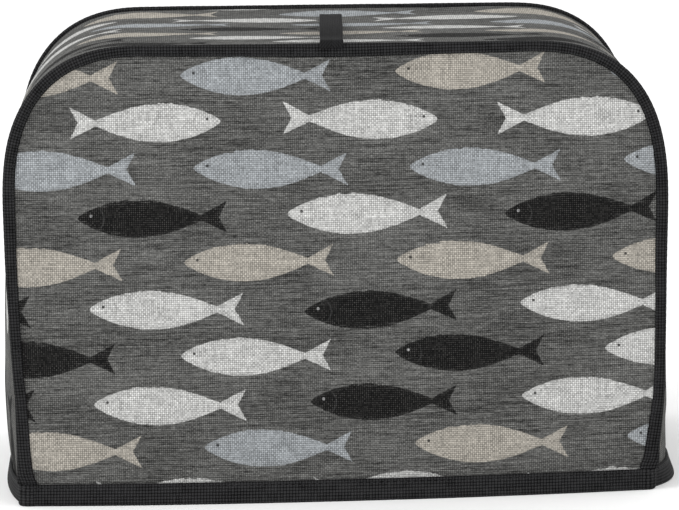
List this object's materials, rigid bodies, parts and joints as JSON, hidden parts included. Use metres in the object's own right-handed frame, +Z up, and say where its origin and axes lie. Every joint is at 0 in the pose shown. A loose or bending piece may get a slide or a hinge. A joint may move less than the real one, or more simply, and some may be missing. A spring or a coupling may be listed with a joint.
{
  "type": "toaster cover",
  "caption": "Fitted fabric cover with arched front and back panels, a boxing strip, bound seams, a bound hem and a lifting strap, standing open side down.",
  "frame": {"origin": "on the surface the hem stands on, at the middle of the cover's outline", "axes": "+X to the right seen from the front, along the cover's width; +Y from the front panel to the back panel; +Z up"},
  "size_m": [0.3022, 0.2088, 0.2062],
  "materials": {
    "canvas_front": "matte printed canvas, charcoal with pale, blue-grey, beige and black fish",
    "canvas_back": "matte printed canvas, charcoal with pale, blue-grey, beige and black fish",
    "canvas_gusset": "matte printed canvas, charcoal with pale, blue-grey, beige and black fish",
    "tape_front_seam": "matte black woven tape",
    "tape_back_seam": "matte black woven tape",
    "tape_hem": "matte black woven tape",
    "webbing_strap": "matte black webbing"
  },
  "bodies": {
    "root": {"front_panel": "canvas_front", "back_panel": "canvas_back", "gusset": "canvas_gusset", "front_binding": "tape_front_seam", "back_binding": "tape_back_seam", "hem_band": "tape_hem", "top_strap": "webbing_strap"}
  },
  "joints": []
}
